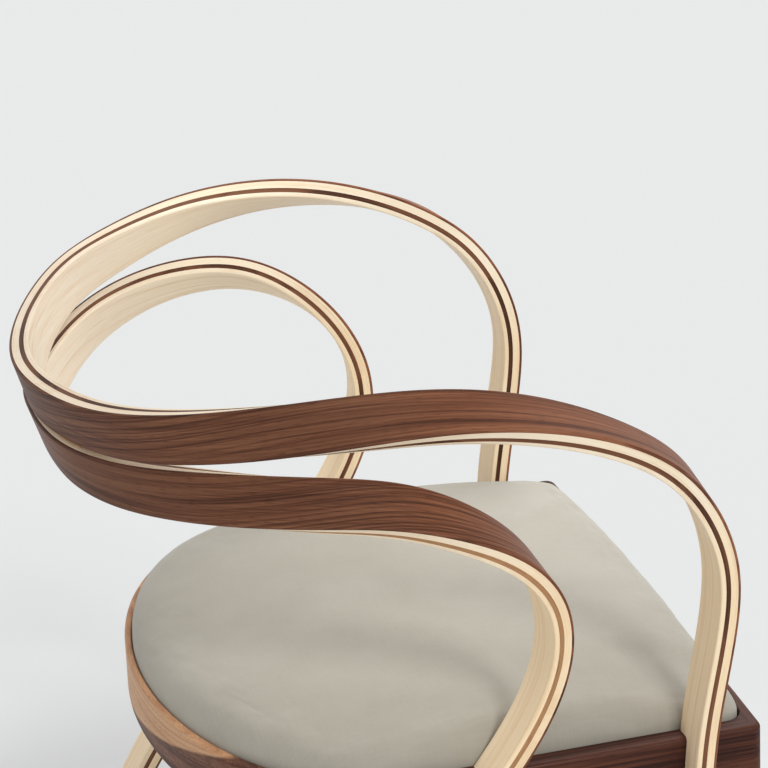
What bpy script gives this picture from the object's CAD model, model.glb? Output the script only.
from math import cos, pi, radians, sin

import bmesh
import bpy
import numpy as np
from mathutils import Matrix, Vector


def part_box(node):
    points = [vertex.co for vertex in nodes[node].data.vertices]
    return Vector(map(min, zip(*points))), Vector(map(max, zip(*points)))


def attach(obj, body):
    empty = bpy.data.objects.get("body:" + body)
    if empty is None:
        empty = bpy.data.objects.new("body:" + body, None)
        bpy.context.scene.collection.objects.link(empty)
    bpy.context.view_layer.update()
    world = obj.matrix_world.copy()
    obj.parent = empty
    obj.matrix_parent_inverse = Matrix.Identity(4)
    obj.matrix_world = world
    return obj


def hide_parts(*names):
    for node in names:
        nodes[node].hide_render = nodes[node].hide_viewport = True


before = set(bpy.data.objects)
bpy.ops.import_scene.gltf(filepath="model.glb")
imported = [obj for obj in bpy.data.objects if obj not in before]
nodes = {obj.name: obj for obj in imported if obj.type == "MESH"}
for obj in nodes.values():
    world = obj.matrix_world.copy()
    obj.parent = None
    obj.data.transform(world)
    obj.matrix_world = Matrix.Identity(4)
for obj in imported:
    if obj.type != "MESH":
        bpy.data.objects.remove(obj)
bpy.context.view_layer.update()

# The looks of a bent-laminated armchair: two hoops of walnut and ash, a walnut seat frame and a cloth
# pad. Sizes are in millimetres, in the row frame, and become metres where a mesh is made. Places in
# materials and lights are in metres.
MM = 0.001

# ---- sizes of the CAD source that the dressed pieces follow
seat_height = 440.0
seat_half_width = 253.0
seat_front = 229.0
front_bow = 3.5
back_bend = 56.0
back_reach = 151.0
rail_height = 46.0
corner_radius = 9.0
top_round = 4.0
bottom_round = 2.0
side_ledge, front_ledge, back_ledge = 17.0, 9.0, 5.0
rebate_depth = 14.0
pad_gap = 0.6
pad_corner_radius = 16.0
ribbon_width = 38.7
layers = (
    ("outer_walnut", 2.4),
    ("outer_ash", 6.0),
    ("core_walnut", 3.8),
    ("inner_ash", 3.9),
)
ribbon_thickness = sum(thickness for name, thickness in layers)
leg_line = 255.85
glide_thickness = 3.0
foot_overrun = 14.0
upper_datum, lower_datum = 705.152, 666.0
y_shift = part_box("front_rail")[0].y / MM + seat_front + front_bow

# Stations of each hoop: share of the leg line, y, height above the datum, lean and tip of the width.
upper_stations = [
    (0.000, 272, 0, 0, 17),
    (0.254, 262, 1, -2, 16),
    (0.500, 237, 6, -1, 11),
    (0.680, 205, 14, 5, 6),
    (0.831, 155, 23, 19, 5),
    (0.949, 90, 32, 36, 2),
    (1.015, 12, 33, 55, -3),
    (1.045, -60, 19, 72, -5),
    (1.055, -109, -1, 86, -12),
    (1.045, -147, -27, 96, -16),
    (1.022, -171, -56, 98, -10),
    (1.010, -193, -122, 93, 2),
    (1.012, -190, -170, 90, 2),
    (1.006, -177, -247, 90, 1),
    (1.000, -172, -400, 90, 1),
]
upper_foot_y = -170
lower_stations = [
    (0.000, 262, 0, 0, 19),
    (0.235, 256, -1, 9, 19),
    (0.450, 235, 0, 20, 19),
    (0.665, 201, 6, 30, 18),
    (0.846, 156, 11, 37, 14),
    (0.964, 108, 12, 43, 10),
    (1.034, 56, 6, 50, 7),
    (1.069, 9, -13, 61, 5),
    (1.059, -32, -45, 76, 5),
    (1.030, -56, -88, 86, 6),
    (1.019, -59, -121, 90, 5),
    (1.008, -39, -182, 90, 2),
    (1.000, 5, -245, 90, 0),
    (0.988, 62, -312, 90, 1),
    (0.972, 140, -405, 90, 3),
    (0.960, 184, -480, 90, 4),
]
lower_foot_y = 243


# ---- meshes

def mesh_object(name, points, faces):
    mesh = bpy.data.meshes.new(name)
    mesh.from_pydata((np.asarray(points, float) * MM).tolist(), [], faces)
    piece = bpy.data.objects.new(name, mesh)
    bpy.context.scene.collection.objects.link(piece)
    return piece


def loft(name, rings):
    """A closed solid through rings that all have the same number of points."""
    count = len(rings[0])
    faces = []
    for ring in range(len(rings) - 1):
        for i in range(count):
            j = (i + 1) % count
            a, b = ring * count, (ring + 1) * count
            faces.append((a + i, a + j, b + j, b + i))
    last = (len(rings) - 1) * count
    faces.append(tuple(range(count))[::-1])
    faces.append(tuple(last + i for i in range(count)))
    return mesh_object(name, np.vstack(rings), faces)


def outward(piece):
    """Turns every face outwards and merges points that coincide."""
    work = bmesh.new()
    work.from_mesh(piece.data)
    bmesh.ops.remove_doubles(work, verts=work.verts, dist=1e-7)
    bmesh.ops.recalc_face_normals(work, faces=work.faces)
    work.to_mesh(piece.data)
    work.free()


def apply_modifiers(piece):
    shown = piece.evaluated_get(bpy.context.evaluated_depsgraph_get())
    mesh = bpy.data.meshes.new_from_object(shown)
    piece.modifiers.clear()
    piece.data = mesh


def cut(piece, *tools):
    for tool in tools:
        step = piece.modifiers.new(tool.name, "BOOLEAN")
        step.operation = "DIFFERENCE"
        step.solver = "EXACT"
        step.object = tool
    apply_modifiers(piece)


def smooth_but_sharp(piece, angle):
    """Smooth shading that keeps edges sharper than an angle, in degrees."""
    work = bmesh.new()
    work.from_mesh(piece.data)
    for face in work.faces:
        face.smooth = True
    for edge in work.edges:
        edge.smooth = len(edge.link_faces) == 2 and edge.calc_face_angle(0) < radians(angle)
    work.to_mesh(piece.data)
    work.free()


# ---- hoops

def spline(places, values, shares):
    """Points and slopes of the smooth cubic through values at places."""
    gaps = np.diff(places)[:, None]
    slopes = np.diff(values, axis=0) / gaps
    count = len(places)
    first = np.polyfit(places[:4] - places[0], values[:4], 3)[2]
    last = np.polyfit(places[-4:] - places[-1], values[-4:], 3)[2]
    system = np.zeros((count, count))
    right = np.zeros_like(values)
    for i in range(1, count - 1):
        before, after = gaps[i - 1, 0], gaps[i, 0]
        system[i, i - 1 : i + 2] = before, 2 * (before + after), after
        right[i] = 6 * (slopes[i] - slopes[i - 1])
    system[0, :2] = 2 * gaps[0, 0], gaps[0, 0]
    right[0] = 6 * (slopes[0] - first)
    system[-1, -2:] = gaps[-1, 0], 2 * gaps[-1, 0]
    right[-1] = 6 * (last - slopes[-1])
    bend = np.linalg.solve(system, right)
    i = np.clip(np.searchsorted(places, shares, side="right") - 1, 0, count - 2)
    gap = gaps[i]
    after = (shares - places[i])[:, None]
    before = gap - after
    low = values[i] / gap - bend[i] * gap / 6
    high = values[i + 1] / gap - bend[i + 1] * gap / 6
    points = (bend[i] * before**3 + bend[i + 1] * after**3) / (6 * gap) + low * before + high * after
    slope = (bend[i + 1] * after**2 - bend[i] * before**2) / (2 * gap) + high - low
    return points, slope


def unit(vectors):
    return vectors / np.linalg.norm(vectors, axis=1)[:, None]


class Hoop:
    """The frames along a ribbon from the foot at -X over the back to the foot at +X."""

    def __init__(self, stations, datum, foot_y, count):
        half = [(leg_line * s, y + y_shift, datum + z, lean, tip) for s, y, z, lean, tip in stations]
        last = half[-1]
        half.append((last[0], foot_y + y_shift, -foot_overrun, last[3], last[4]))
        whole = np.array([(-x, y, z, -lean, tip) for x, y, z, lean, tip in half[:0:-1]] + half)
        runs = np.linalg.norm(np.diff(whole[:, :3], axis=0), axis=1)
        places = np.concatenate([[0], np.cumsum(runs)])
        places /= places[-1]
        shares = np.linspace(0, 1, count)
        self.centre, along = spline(places, whole[:, :3], shares)
        self.along = unit(along)
        turn = np.radians(spline(places, whole[:, 3:], shares)[0])
        wide = np.stack([-np.sin(turn[:, 0]), np.sin(turn[:, 1]), np.cos(turn[:, 0])], 1)
        wide -= (wide * self.along).sum(1)[:, None] * self.along
        self.wide = unit(wide)
        self.out = np.cross(self.wide, self.along)
        steps = np.linalg.norm(np.diff(self.centre, axis=0), axis=1)
        self.run = np.concatenate([[0], np.cumsum(steps)])

    def ring(self, i, profile):
        across, depth = profile[:, :1], profile[:, 1:]
        return self.centre[i] + across * self.wide[i] + (ribbon_thickness / 2 - depth) * self.out[i]

    def layer(self, name, profile):
        piece = loft(name, [self.ring(i, profile) for i in range(len(self.centre))])
        outward(piece)
        return piece

    def mark_grain(self, piece, run_offset):
        """Stores each point's run along the ribbon, place across it and depth in it, in metres."""
        mesh = piece.data
        places = np.empty(len(mesh.vertices) * 3)
        mesh.vertices.foreach_get("co", places)
        places = places.reshape(-1, 3) / MM
        grain = np.empty_like(places)
        for start in range(0, len(places), 2000):
            some = places[start : start + 2000]
            near = ((some[:, None] - self.centre[None]) ** 2).sum(2).argmin(1)
            away = some - self.centre[near]
            grain[start : start + 2000, 0] = self.run[near] + (away * self.along[near]).sum(1)
            grain[start : start + 2000, 1] = (away * self.wide[near]).sum(1)
            grain[start : start + 2000, 2] = ribbon_thickness / 2 - (away * self.out[near]).sum(1)
        grain[:, 0] += run_offset
        attribute = mesh.attributes.new("grain", "FLOAT_VECTOR", "POINT")
        attribute.data.foreach_set("vector", (grain * MM).astype(np.float32).ravel())


edge_round = 1.3
across_steps = 10


def layer_profile(start, end):
    """The outline of one layer in the ribbon's section; the ribbon's own corners are rounded."""
    half = ribbon_width / 2
    quarter = [radians(step * 22.5) for step in range(5)]

    def side(depth, rounded):
        """Points from -half to +half at a depth, with round corners where the depth is a face."""
        flat = np.linspace(-half, half, across_steps + 1)
        if not rounded:
            return [(across, depth) for across in flat]
        inside = edge_round if depth == 0 else -edge_round
        centre = half - edge_round
        left = [(-centre - edge_round * cos(a), depth + inside * (1 - sin(a))) for a in quarter]
        right = [(-x, y) for x, y in left[::-1]]
        middle = [(across * centre / half, depth) for across in flat[1:-1]]
        return left + middle + right

    outer = side(start, start == 0)
    inner = side(end, end == ribbon_thickness)
    return np.array(outer + inner[::-1])


# ---- seat outline

def d_outline(side, front, back, corner, counts=(24, 8, 60, 120)):
    """The seat's D as a closed line of points, set in by three margins, with rounded front corners."""
    half = seat_half_width - side
    near = front - seat_front
    side_count, corner_count, front_count, back_count = counts
    bow_radius = (half**2 + front_bow**2) / (2 * front_bow)
    bow_y = near - front_bow + bow_radius
    x = half - corner
    y = bow_y - np.sqrt((bow_radius - corner) ** 2 - x**2)
    turn = np.arctan2(y - bow_y, x)
    points = [(half, back_bend + (y - back_bend) * i / side_count) for i in range(side_count)]
    for i in range(corner_count):
        angle = turn * i / corner_count
        points.append((x + corner * cos(angle), y + corner * sin(angle)))
    sweep = 2 * (turn + pi / 2)
    for i in range(front_count):
        angle = turn - sweep * i / front_count
        points.append((bow_radius * cos(angle), bow_y + bow_radius * sin(angle)))
    for i in range(corner_count):
        angle = -pi - turn + turn * i / corner_count
        points.append((-x + corner * cos(angle), y + corner * sin(angle)))
    points += [(-half, y + (back_bend - y) * i / side_count) for i in range(side_count)]
    for i in range(back_count):
        angle = pi - pi * i / back_count
        points.append((half * cos(angle), back_bend + (back_reach - back) * sin(angle)))
    return np.array(points) + (0, y_shift)


def level(outline, z):
    return np.column_stack([outline, np.full(len(outline), z)])


def seat_block():
    """The outside of the seat frame as one block, which the legs are cut to fit."""
    rings = []
    for radius, height, sign in ((bottom_round, -rail_height, 1), (top_round, 0, -1)):
        quarter = [radians(step * 22.5) for step in range(5)]
        turns = quarter[::-1] if sign < 0 else quarter
        for angle in turns:
            inset = radius * (1 - sin(angle))
            z = seat_height + height + sign * radius * (1 - cos(angle))
            rings.append(level(d_outline(inset, inset, inset, corner_radius - inset), z))
    block = loft("seat_block", rings)
    outward(block)
    return block


# ---- pad

pad_middle = (back_bend + back_reach - seat_front) / 2 + y_shift
pad_top = 38.5          # the dressed pad's crown above the seat frame
pad_dome = 3200.0       # radius of its top
dome_forward = 30.0     # highest point in front of the pad's middle
corner_drop = 48.0      # how fast the foam gives way towards the corners
pad_edges = 20.0, 15.0, 26.0    # how far in the cloth turns over: side, front, back
pad_wall = 2.0          # the cloth stands upright this far above the ledge
pad_clearance = 0.3     # between the pad and the bottom of its rebate
pad_shrink = 1.0        # the form starts this much below its crown, and the cloth swells
pad_swell = 2.0         # the most that a point of the cloth may move
pad_faces = 58          # faces along each side of the pad's square net
cloth_frames = 20


def crown(points, drop):
    """Height of the pad's crowned top over points in plan."""
    x, y = points[..., 0], points[..., 1] - pad_middle + dome_forward
    cornered = (x / seat_half_width) ** 6 * (y / seat_half_width) ** 2 * corner_drop
    return seat_height + pad_top - drop - (x**2 + y**2) / (2 * pad_dome) - cornered


def resample(line, count):
    """The same closed line with evenly spaced points."""
    closed = np.vstack([line, line[:1]])
    run = np.concatenate([[0], np.cumsum(np.linalg.norm(np.diff(closed, axis=0), axis=1))])
    places = np.linspace(0, run[-1], count, endpoint=False)
    return np.stack([np.interp(places, run, closed[:, i]) for i in (0, 1)], 1)


def patch(edge, side):
    """A square patch of points inside a closed line of 4 * side points."""
    low, right, high, left = [np.vstack([edge, edge[:1]])[side * i : side * (i + 1) + 1] for i in range(4)]
    high, left = high[::-1], left[::-1]
    u = np.linspace(0, 1, side + 1)[:, None, None]
    v = np.linspace(0, 1, side + 1)[None, :, None]
    ruled = (1 - v) * low[:, None] + v * high[:, None] + (1 - u) * left[None] + u * right[None]
    corners = (1 - u) * (1 - v) * low[0] + u * (1 - v) * low[-1] + (1 - u) * v * high[0] + u * v * high[-1]
    return ruled - corners


def pad_form(name, shrink):
    """The pad as an even net of four-sided faces: bottom, walls, rounded edge and crowned top."""
    side = pad_faces
    base = seat_height - rebate_depth + pad_clearance

    def line(inset, turned=0.0):
        """The pad's outline, set in by a distance and by a share of the turned edge."""
        ledges = side_ledge, front_ledge, back_ledge
        margins = [ledge + pad_gap + inset + turned * edge for ledge, edge in zip(ledges, pad_edges)]
        corner = pad_corner_radius + inset + turned * pad_edges[1]
        outline = resample(d_outline(*margins, corner), 4 * side)
        start = np.argmin(((outline - (-200, -200)) ** 2).sum(1))
        return np.roll(outline, -start, axis=0)

    rings = [level(line(1.5), base), level(line(0.3), base + 1.2)]
    rings += [level(line(0.0), base + 1.2 + rise) for rise in (4.5, 9.0)]
    foot = seat_height + pad_wall
    for step in range(11):
        angle = radians(9 * step)
        outline = line(0.0, 1 - cos(angle))
        top = crown(outline, shrink)
        rings.append(np.column_stack([outline, foot + (top - foot) * sin(angle)]))
    points = list(np.vstack(rings))
    count = 4 * side
    faces = []
    for ring in range(len(rings) - 1):
        for i in range(count):
            j = (i + 1) % count
            a, b = ring * count, (ring + 1) * count
            faces.append((a + i, a + j, b + j, b + i))

    def close(edge, first, heights):
        """Fills a ring with a patch whose rim is the ring itself."""
        grid = patch(edge, side)
        index = np.zeros((side + 1, side + 1), int)
        rim = [(i, 0) for i in range(side)] + [(side, i) for i in range(side)]
        rim += [(side - i, side) for i in range(side)] + [(0, side - i) for i in range(side)]
        for place, (i, j) in enumerate(rim):
            index[i, j] = first + place
        for i in range(1, side):
            for j in range(1, side):
                index[i, j] = len(points)
                points.append(np.append(grid[i, j], heights(grid[i, j])))
        for i in range(side):
            for j in range(side):
                faces.append((index[i, j], index[i + 1, j], index[i + 1, j + 1], index[i, j + 1]))

    close(rings[0][:, :2], 0, lambda point: base)
    close(rings[-1][:, :2], (len(rings) - 1) * count, lambda point: crown(point, shrink))
    piece = mesh_object(name, points, [tuple(int(i) for i in face) for face in faces])
    outward(piece)
    return piece


def puff(piece, swell):
    """Blows the cloth up by simulation, and caps how far each point moves. The cap is far below what
    the simulation does, so the built crown stays the main shape."""
    mesh = piece.data
    rest = np.array([v.co for v in mesh.vertices])
    held = piece.vertex_groups.new(name="held")
    rim = (seat_height + 1.0) * MM
    held.add([i for i, co in enumerate(rest) if co[2] < rim], 1.0, "REPLACE")
    cloth = piece.modifiers.new("Cloth", "CLOTH")
    settings = cloth.settings
    settings.quality = 6
    settings.mass = 0.3
    settings.tension_stiffness = 30
    settings.compression_stiffness = 20
    settings.bending_stiffness = 60
    settings.use_pressure = True
    settings.uniform_pressure_force = 2
    settings.effector_weights.gravity = 0
    settings.vertex_group_mass = "held"
    scene = bpy.context.scene
    for step in range(1, cloth_frames + 1):
        scene.frame_set(step)
    apply_modifiers(piece)
    scene.frame_set(1)
    mesh = piece.data
    moved = np.array([v.co for v in mesh.vertices])
    away = moved - rest
    far = np.linalg.norm(away, axis=1)[:, None]
    away *= np.minimum(1, swell * MM / np.maximum(far, 1e-9))
    mesh.vertices.foreach_set("co", (rest + away).astype(np.float32).ravel())
    mesh.update()


def subdivide(piece):
    finer = piece.modifiers.new("Finer", "SUBSURF")
    finer.levels = finer.render_levels = 1
    apply_modifiers(piece)


# ---- materials

class Finish:
    """A node material: sockets are passed from node to node as plain values."""

    def __init__(self, name):
        self.material = bpy.data.materials.new(name)
        self.material.use_nodes = True
        self.tree = self.material.node_tree
        self.surface = self.tree.nodes["Principled BSDF"]

    def put(self, socket, value):
        if isinstance(value, bpy.types.NodeSocket):
            self.tree.links.new(value, socket)
        elif value is not None:
            socket.default_value = value

    def node(self, kind, inputs=(), **settings):
        made = self.tree.nodes.new(kind)
        for key, value in settings.items():
            setattr(made, key, value)
        for key, value in dict(inputs).items():
            self.put(made.inputs[key], value)
        return made

    def math(self, operation, first, second=None, third=None):
        made = self.node("ShaderNodeMath", {0: first, 1: second, 2: third}, operation=operation)
        return made.outputs[0]

    def vector(self, operation, first, second=None):
        made = self.node("ShaderNodeVectorMath", {0: first, 1: second}, operation=operation)
        return made.outputs[0]

    def split(self, vector):
        return self.node("ShaderNodeSeparateXYZ", {0: vector}).outputs

    def join(self, x, y, z):
        return self.node("ShaderNodeCombineXYZ", {0: x, 1: y, 2: z}).outputs[0]

    def noise(self, vector, scale, detail=2.0, roughness=0.5, distortion=0.0):
        inputs = {"Vector": vector, "Scale": scale, "Detail": detail, "Roughness": roughness}
        inputs["Distortion"] = distortion
        return self.node("ShaderNodeTexNoise", inputs).outputs["Fac"]

    def ramp(self, value, stops, interpolation="EASE"):
        made = self.node("ShaderNodeValToRGB", {0: value})
        made.color_ramp.interpolation = interpolation
        elements = made.color_ramp.elements
        while len(elements) < len(stops):
            elements.new(0.5)
        for element, (place, colour) in zip(elements, stops):
            element.position = place
            element.color = colour if len(colour) == 4 else (*colour, 1)
        return made.outputs[0]

    def grey(self, value, *stops):
        return self.ramp(value, [(place, (tone, tone, tone)) for place, tone in stops])

    def mix(self, factor, first, second, blend="MIX"):
        made = self.node("ShaderNodeMix", data_type="RGBA", blend_type=blend)
        for socket, value in zip((made.inputs[0], made.inputs[6], made.inputs[7]), (factor, first, second)):
            self.put(socket, (*value, 1) if isinstance(value, tuple) and len(value) == 3 else value)
        return made.outputs[2]

    def finish(self, colour, roughness, height=None, strength=0.2, distance=0.0003, **fixed):
        self.put(self.surface.inputs["Base Color"], colour)
        self.put(self.surface.inputs["Roughness"], roughness)
        if height is not None:
            inputs = {"Height": height, "Strength": strength, "Distance": distance}
            self.put(self.surface.inputs["Normal"], self.node("ShaderNodeBump", inputs).outputs[0])
        for key, value in fixed.items():
            self.surface.inputs[key.replace("_", " ")].default_value = value
        return self.material


def srgb(red, green, blue):
    """A colour as a screen shows it, as linear numbers."""
    tones = [tone / 255 for tone in (red, green, blue)]
    return tuple(t / 12.92 if t <= 0.04045 else ((t + 0.055) / 1.055) ** 2.4 for t in tones)


def wood(name, place, tones, ring_gap, depth, slant, contrast, pores, roughness, tint=None):
    """Wood with its grain along x of a place in metres: uneven years cut at a slant, fibres and pores.

    The years are ring_gap apart round a heart that lies depth below the face; contrast is how dark
    the late wood is and pores how dark the pores are. A tint changes the colour from place to place.
    """
    dark, mid, light = tones
    look = Finish(name)
    where = place(look)
    x, y, z = look.split(where)

    def stretched(along, across, detail, rough, offset=0.0):
        """Noise drawn out along the grain, with features this many to the metre."""
        spot = look.join(
            look.math("MULTIPLY_ADD", x, along, offset),
            look.math("MULTIPLY", y, across),
            look.math("MULTIPLY", z, across),
        )
        return look.noise(spot, 1.0, detail, rough)

    def spread(value, amount):
        return look.math("MULTIPLY", look.math("SUBTRACT", value, 0.5), amount)

    wander = spread(look.noise(look.join(x, 0.0, 0.0), 2.2, 1.0), 0.07)
    ripple = spread(stretched(3.0, 24.0, 2.0, 0.5, 7.0), 0.006)
    across = look.math("ADD", look.math("MULTIPLY_ADD", x, slant, y), wander)
    below = look.math("ADD", look.math("ADD", z, depth), look.math("MULTIPLY", wander, 0.6))
    squares = look.math("POWER", across, 2.0), look.math("POWER", below, 2.0)
    radius = look.math("SQRT", look.math("ADD", *squares))
    rings = look.math("DIVIDE", look.math("ADD", radius, ripple), ring_gap)
    years = look.noise(look.join(rings, look.math("MULTIPLY", x, 1.5), depth * 90), 1.0, 3.0, 0.62)
    late = look.grey(years, (0.44, 0.0), (0.60, 1.0))
    patches = stretched(3.0, 34.0, 2.0, 0.5, 3.0)
    streaks = stretched(4.0, 420.0, 3.0, 0.65, 11.0)
    fibre = stretched(20.0, 1100.0, 2.0, 0.7)
    uneven = look.math("ADD", spread(patches, 0.55), spread(streaks, 1.0))
    tone = look.math("MULTIPLY_ADD", late, contrast, uneven)
    tone = look.math("ADD", look.math("ADD", tone, spread(fibre, 0.4)), 0.30)
    colour = look.ramp(tone, [(0.0, light), (0.45, mid), (1.0, dark)], "LINEAR")
    if tint:
        colour = tint(look, where, colour)
    pore = look.grey(stretched(80.0, 2400.0, 0.0, 0.5), (0.64, 0.0), (0.76, 1.0))
    colour = look.mix(look.math("MULTIPLY", pore, pores), colour, tuple(0.55 * tone for tone in dark))
    height = look.math("SUBTRACT", look.math("MULTIPLY", fibre, 0.5), pore)
    rough = look.math("MULTIPLY_ADD", streaks, 0.12, roughness - 0.06)
    return look.finish(colour, rough, height, 0.25, 0.0001, Specular_IOR_Level=0.12)


def ribbon_place(look):
    return look.node("ShaderNodeAttribute", attribute_name="grain").outputs["Vector"]


def object_place(order, offset=(0.0, 0.0, 0.0)):
    """A place function for a CAD node: its own axes in an order, so that the grain runs along the first."""

    def place(look):
        raw = look.node("ShaderNodeTexCoord").outputs["Object"]
        parts = look.split(look.vector("ADD", raw, offset))
        return look.join(*[parts[i] for i in order])

    return place


def dress(piece, material):
    piece.data.materials.clear()
    piece.data.materials.append(material)


walnut = srgb(52, 31, 22), srgb(98, 61, 44), srgb(130, 88, 64)
core = srgb(58, 34, 24), srgb(104, 66, 47), srgb(132, 90, 64)
ash = srgb(218, 190, 154), srgb(244, 225, 197), srgb(250, 238, 216)
rail = srgb(38, 20, 16), srgb(66, 37, 29), srgb(100, 60, 44)
back = srgb(56, 34, 28), srgb(100, 66, 52), srgb(130, 92, 72)
beech = srgb(172, 128, 88), srgb(206, 168, 126), srgb(222, 190, 150)


paler_walnut = 1.55, 1.45, 1.33
tanner_ash, duller_ash = (1.0, 0.93, 0.82), (0.92, 0.91, 0.93)
pale_core = srgb(188, 142, 100)
pale_core_share = 0.75


def fade(look, value, slope, start):
    """A share that rises from 0 to 1 as slope * value + start does, for a value in metres."""
    return look.grey(look.math("MULTIPLY_ADD", value, slope, start), (0.0, 0.0), (1.0, 1.0))


def paler_forward(look, where, colour):
    """The walnut veneers are paler towards the front of the chair."""
    y = look.split(look.node("ShaderNodeTexCoord").outputs["Object"])[1]
    return look.mix(fade(look, y, -4.5, 0.55), colour, paler_walnut, "MULTIPLY")


def tanner_ends(look, where, colour):
    """The ash veneers turn tan on the legs and a little duller behind the sitter."""
    x, y, z = look.split(look.node("ShaderNodeTexCoord").outputs["Object"])
    legs = fade(look, z, -8.0, 5.5)
    behind = fade(look, y, 6.0, -0.3)
    colour = look.mix(legs, colour, tanner_ash, "MULTIPLY")
    return look.mix(behind, colour, duller_ash, "MULTIPLY")


def lighter_below(look, where, colour):
    """The lower hoop's core is paler towards one edge, where it runs into sapwood."""
    across = look.math("MULTIPLY_ADD", look.split(where)[1], 26.0, 0.5)
    side = look.grey(across, (0.1, 1.0), (0.6, 0.0))
    return look.mix(look.math("MULTIPLY", side, pale_core_share), colour, pale_core)


heart_top = 0.391           # height of the heart's edge where the sapwood begins
heart_rise = 0.044          # how much higher the edge is one reach further on
left_run, left_start = 0.228, 0.33      # reach of the sapwood at the left end of the rail
right_run, right_start = 0.14, -0.54    # and at the right end
sap_face = srgb(214, 170, 130), srgb(190, 142, 104)
sap_top = srgb(212, 162, 120), srgb(178, 128, 92)
heart_in_sap = 0.08


def sapwood(look, where, colour):
    """The back rail is sawn through the edge of the heart, so pale sapwood runs out along it."""
    x, y, z = look.split(where)
    wave = look.join(look.math("MULTIPLY", x, 9.0), look.math("MULTIPLY", z, 20.0), 5.0)
    edge = look.noise(wave, 1.0, 2.0)
    left_reach = look.math("MULTIPLY_ADD", x, -1 / left_run, left_start)
    right_reach = look.math("MULTIPLY_ADD", x, 1 / right_run, right_start)
    reach = look.math("MAXIMUM", left_reach, right_reach)
    heart = look.math("MULTIPLY_ADD", look.math("POWER", reach, 1.5), heart_rise, heart_top)
    above = look.math("SUBTRACT", z, look.math("MULTIPLY_ADD", edge, 0.006, heart))
    share = look.grey(look.math("MULTIPLY_ADD", above, 100.0, 0.5), (0.35, 0.0), (0.65, 1.0))
    upward = look.split(look.node("ShaderNodeTexCoord").outputs["Normal"])[2]
    across = look.math("ADD", look.math("MULTIPLY", z, 260.0), look.math("MULTIPLY", y, 110.0))
    streaks = look.noise(look.join(look.math("MULTIPLY", x, 5.0), across, 1.0), 1.0, 3.0, 0.6)
    figure = look.grey(streaks, (0.35, 0.0), (0.65, 1.0))
    face = look.mix(figure, *sap_face)
    top = look.mix(figure, *sap_top)
    pale = look.mix(look.grey(upward, (0.4, 0.0), (0.9, 1.0)), face, top)
    return look.mix(share, colour, look.mix(heart_in_sap, pale, colour))


lengthwise, crosswise = object_place((0, 1, 2)), object_place((1, 0, 2))
filler = srgb(150, 112, 74), srgb(196, 164, 120), srgb(214, 186, 144)

# how each board is sawn and how its grain shows
face_cut = dict(ring_gap=0.0026, depth=0.016, slant=0.075, contrast=0.42, pores=0.5, roughness=0.46)
core_cut = dict(ring_gap=0.004, depth=0.03, slant=0.02, contrast=0.5, pores=0.4, roughness=0.48)
ash_cut = dict(ring_gap=0.0034, depth=0.02, slant=0.03, contrast=0.2, pores=0.12, roughness=0.48)
front_cut = dict(ring_gap=0.005, depth=0.05, slant=0.02, contrast=0.45, pores=0.5, roughness=0.45)
side_cut = dict(ring_gap=0.005, depth=0.05, slant=0.03, contrast=0.45, pores=0.5, roughness=0.45)
back_cut = dict(ring_gap=0.005, depth=0.03, slant=0.02, contrast=0.45, pores=0.5, roughness=0.45)
filler_cut = dict(ring_gap=0.0045, depth=0.02, slant=0.0, contrast=0.4, pores=0.18, roughness=0.5)
beech_cut = dict(ring_gap=0.004, depth=0.03, slant=0.02, contrast=0.4, pores=0.35, roughness=0.55)

materials = {
    "outer_walnut": wood("walnut_face", ribbon_place, walnut, **face_cut, tint=paler_forward),
    "core_walnut": wood("walnut_core", ribbon_place, core, **core_cut),
    "lower_core": wood("walnut_core_pale", ribbon_place, core, **core_cut, tint=lighter_below),
    "ash": wood("ash", ribbon_place, ash, **ash_cut, tint=tanner_ends),
}
front_wood = wood("walnut_front", lengthwise, rail, **front_cut)
side_wood = wood("walnut_side", crosswise, rail, **side_cut)
back_wood = wood("walnut_back", lengthwise, back, **back_cut, tint=sapwood)
filler_wood = wood("ash_filler", lengthwise, filler, **filler_cut)
beech_wood = wood("beech", crosswise, beech, **beech_cut)


def ply():
    """Birch plywood: thin veneers that show as lines along its edges."""
    look = Finish("plywood")
    raw = look.node("ShaderNodeTexCoord").outputs["Object"]
    x, y, z = look.split(raw)
    veneer = look.math("FRACT", look.math("DIVIDE", z, 0.0028))
    turn = look.grey(veneer, (0.45, 0.0), (0.5, 1.0), (0.95, 1.0), (1.0, 0.0))
    along, across = look.math("MULTIPLY", x, 12.0), look.math("MULTIPLY", y, 500.0)
    fibre = look.noise(look.join(along, across, z), 1.0, 3.0, 0.6)
    colour = look.mix(turn, srgb(214, 184, 140), srgb(178, 140, 98))
    colour = look.mix(look.math("MULTIPLY", fibre, 0.4), colour, srgb(160, 122, 84))
    return look.finish(colour, 0.6, fibre, 0.2)


def metal():
    """Zinc-plated steel with a fine grey mottle."""
    look = Finish("zinc")
    raw = look.node("ShaderNodeTexCoord").outputs["Object"]
    cloud = look.noise(raw, 400.0, 4.0, 0.6)
    colour = look.mix(cloud, (0.42, 0.43, 0.45), (0.66, 0.66, 0.64))
    return look.finish(colour, look.math("MULTIPLY_ADD", cloud, 0.2, 0.28), cloud, 0.1, Metallic=1.0)


def nylon():
    look = Finish("nylon")
    raw = look.node("ShaderNodeTexCoord").outputs["Object"]
    cloud = look.noise(raw, 900.0, 3.0, 0.6)
    colour = look.mix(cloud, srgb(58, 52, 48), srgb(76, 70, 64))
    return look.finish(colour, look.math("MULTIPLY_ADD", cloud, 0.15, 0.5), cloud, 0.25)


yarn_gap = 0.0008
cloth_tones = (0.2, srgb(151, 145, 133)), (0.5, srgb(167, 162, 150)), (0.8, srgb(180, 176, 165))


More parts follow.
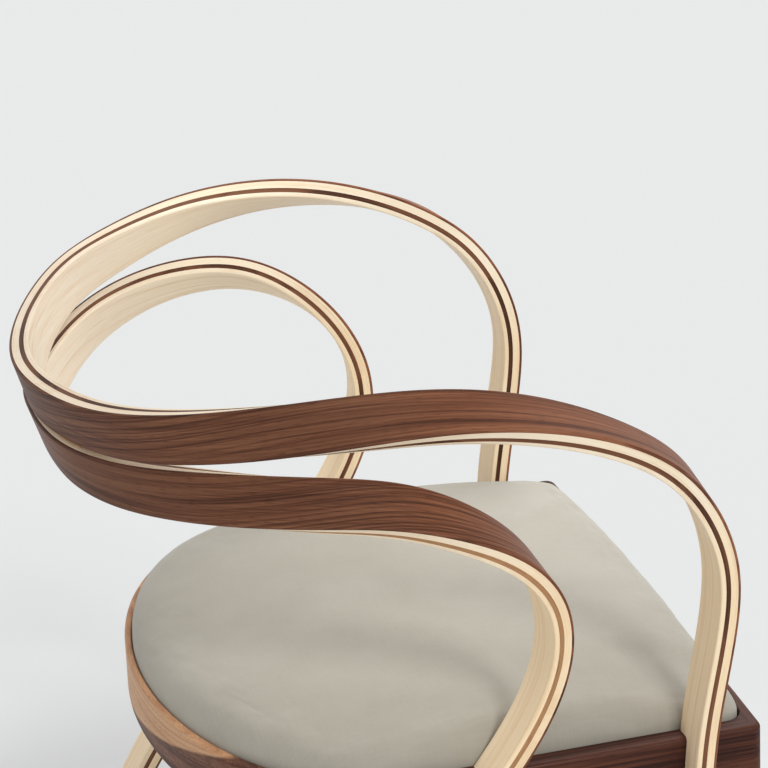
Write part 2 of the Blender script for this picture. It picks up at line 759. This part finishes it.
def cloth():
    """A plain weave of fine warm grey yarns, a little uneven, with a soft nap."""
    look = Finish("cloth")
    raw = look.node("ShaderNodeTexCoord").outputs["Object"]
    x, y, z = look.split(raw)
    bend = look.math("MULTIPLY", look.math("SUBTRACT", look.noise(raw, 14.0, 2.0), 0.5), 0.004)
    yarn = 2 * pi / yarn_gap
    warp = look.math("SINE", look.math("MULTIPLY", look.math("ADD", x, bend), yarn))
    weft = look.math("SINE", look.math("MULTIPLY", look.math("ADD", y, bend), yarn))
    weave = look.math("MULTIPLY", warp, weft)

    def slubs(x_scale, y_scale, seed):
        spot = look.join(look.math("MULTIPLY", x, x_scale), look.math("MULTIPLY", y, y_scale), seed)
        return look.noise(spot, 1.0, 2.0)

    slub = look.math("ADD", slubs(40.0, 700.0, 1.0), slubs(700.0, 40.0, 4.0))
    cloud = look.noise(raw, 18.0, 4.0, 0.55)
    fuzz = look.noise(raw, 1600.0, 2.0, 0.7)
    tone = look.math("MULTIPLY_ADD", slub, 0.14, look.math("MULTIPLY", cloud, 0.3))
    tone = look.math("ADD", tone, look.math("MULTIPLY", look.math("SUBTRACT", fuzz, 0.5), 0.25))
    tone = look.math("ADD", look.math("MULTIPLY_ADD", weave, 0.04, tone), 0.2)
    colour = look.ramp(tone, cloth_tones, "LINEAR")
    height = look.math("ADD", look.math("MULTIPLY", weave, 0.5), look.math("MULTIPLY", fuzz, 0.6))
    nap = {"Specular_IOR_Level": 0.15, "Sheen_Weight": 0.25, "Sheen_Roughness": 0.5}
    return look.finish(colour, 0.92, height, 0.35, 0.0002, **nap)


# ---- assembly

hoop_rings = 440            # sections along each hoop
grain_shift = 3700          # run between one layer's grain and the next one's, so that none repeats


def ground_block():
    """A block up to the top of the glides, on which the feet are cut off."""
    size = 4 * seat_half_width
    levels = -50, glide_thickness
    points = [(x, y, z) for z in levels for y in (-size, size) for x in (-size, size)]
    faces = [(0, 2, 3, 1), (4, 5, 7, 6), (0, 1, 5, 4), (2, 6, 7, 3), (0, 4, 6, 2), (1, 3, 7, 5)]
    return mesh_object("ground", points, faces)


def build_hoops():
    block = seat_block()
    ground = ground_block()
    offset = 0.0
    for name, stations, datum, foot_y in (
        ("upper", upper_stations, upper_datum, upper_foot_y),
        ("lower", lower_stations, lower_datum, lower_foot_y),
    ):
        hoop = Hoop(stations, datum, foot_y, hoop_rings)
        start = 0.0
        for layer, thickness in layers:
            node = name + "_hoop_" + layer
            end = start + thickness
            if layer == layers[-1][0]:
                end = ribbon_thickness
            piece = hoop.layer(node + "_wood", layer_profile(start, end))
            cut(piece, block, ground)
            smooth_but_sharp(piece, 38)
            hoop.mark_grain(piece, offset)
            offset += grain_shift
            material = materials["ash" if "ash" in layer else layer]
            if node == "lower_hoop_core_walnut":
                material = materials["lower_core"]
            dress(piece, material)
            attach(piece, "root")
            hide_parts(node)
            start += thickness
    for tool in (block, ground):
        bpy.data.objects.remove(tool)


def build_pad():
    pad = pad_form("pad_cloth", pad_shrink)
    puff(pad, pad_swell)
    subdivide(pad)
    smooth_but_sharp(pad, 180)
    dress(pad, cloth())
    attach(pad, "root")
    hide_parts("pad_cover", "pad_foam")


def dress_frame():
    woods = {
        "front_rail": front_wood,
        "side_rail_left": side_wood,
        "side_rail_right": side_wood,
        "back_rail": back_wood,
        "hoop_filler": filler_wood,
        "pad_board": ply(),
        "foot_glides": nylon(),
    }
    zinc = metal()
    for name in ("leg_screws", "block_screws", "seat_screws"):
        woods[name] = zinc
    for name in nodes:
        if "block_" in name and "screws" not in name or name in ("frame_tenons", "hoop_dowels"):
            woods[name] = beech_wood
    for name, material in woods.items():
        piece = nodes[name]
        for slot in piece.material_slots:
            slot.material = material


photo_width, focal_length = 768, 3846       # in pixels of the photograph


def place_camera():
    azimuth, elevation, roll = radians(-105.49), radians(22.29), radians(-2.54)
    target, distance = Vector((-160.97, 9.78, 729.8)), 2866.5
    back = Vector((sin(azimuth) * cos(elevation), -cos(azimuth) * cos(elevation), sin(elevation)))
    right = Vector((cos(azimuth), sin(azimuth), 0))
    up = back.cross(right)
    right, up = cos(roll) * right + sin(roll) * up, -sin(roll) * right + cos(roll) * up
    data = bpy.data.cameras.new("camera")
    data.sensor_width = 36
    data.lens = focal_length / photo_width * data.sensor_width
    data.clip_start, data.clip_end = 0.1, 60
    camera = bpy.data.objects.new("camera", data)
    matrix = Matrix((right, up, back)).transposed().to_4x4()
    matrix.translation = (target + back * distance) * MM
    camera.matrix_world = matrix
    bpy.context.scene.collection.objects.link(camera)
    bpy.context.scene.camera = camera


world_colour, world_strength = (0.82, 0.825, 0.825, 1), 0.7
floor_colour = 0.83, 0.837, 0.837, 1
floor_reach = 30000
suns = (    # name, strength, spread, azimuth and elevation in degrees
    ("key", 1.3, 13, -77, 38),
    ("fill", 0.8, 100, 80, 35),
)
window_energy, window_size, window_spread = 0.9, 0.5, 66
window_place, window_aim = Vector((0.45, -0.4, 1.2)), Vector((0.13, -0.13, 0.45))


def hang(name, data, way, place=(0, 0, 0)):
    """A lamp at a place, which shines against a way."""
    lamp = bpy.data.objects.new(name, data)
    turned = way.to_track_quat("Z", "Y").to_matrix().to_4x4()
    lamp.matrix_world = Matrix.Translation(place) @ turned
    bpy.context.scene.collection.objects.link(lamp)
    return lamp


def light_scene():
    """Even studio light: a pale world, two suns, a window over the far corner, and a pale floor."""
    world = bpy.data.worlds.new("studio")
    bpy.context.scene.world = world
    world.use_nodes = True
    background = world.node_tree.nodes["Background"]
    background.inputs[0].default_value = world_colour
    background.inputs[1].default_value = world_strength
    for name, strength, spread, azimuth, elevation in suns:
        data = bpy.data.lights.new(name, "SUN")
        data.energy = strength
        data.angle = radians(spread)
        a, e = radians(azimuth), radians(elevation)
        hang(name, data, Vector((sin(a) * cos(e), -cos(a) * cos(e), sin(e))))
    data = bpy.data.lights.new("window", "AREA")
    data.energy, data.size, data.spread = window_energy, window_size, radians(window_spread)
    window = hang("window", data, window_place - window_aim, window_place)
    window.visible_camera = False
    reach = floor_reach
    corners = [(-reach, -reach, 0), (reach, -reach, 0), (reach, reach, 0), (-reach, reach, 0)]
    floor = mesh_object("floor", corners, [(0, 1, 2, 3)])
    look = Finish("floor")
    dress(floor, look.finish(floor_colour, 0.9, Specular_IOR_Level=0.0))


build_hoops()
build_pad()
dress_frame()
place_camera()
light_scene()
bpy.context.scene.view_settings.view_transform = "Standard"
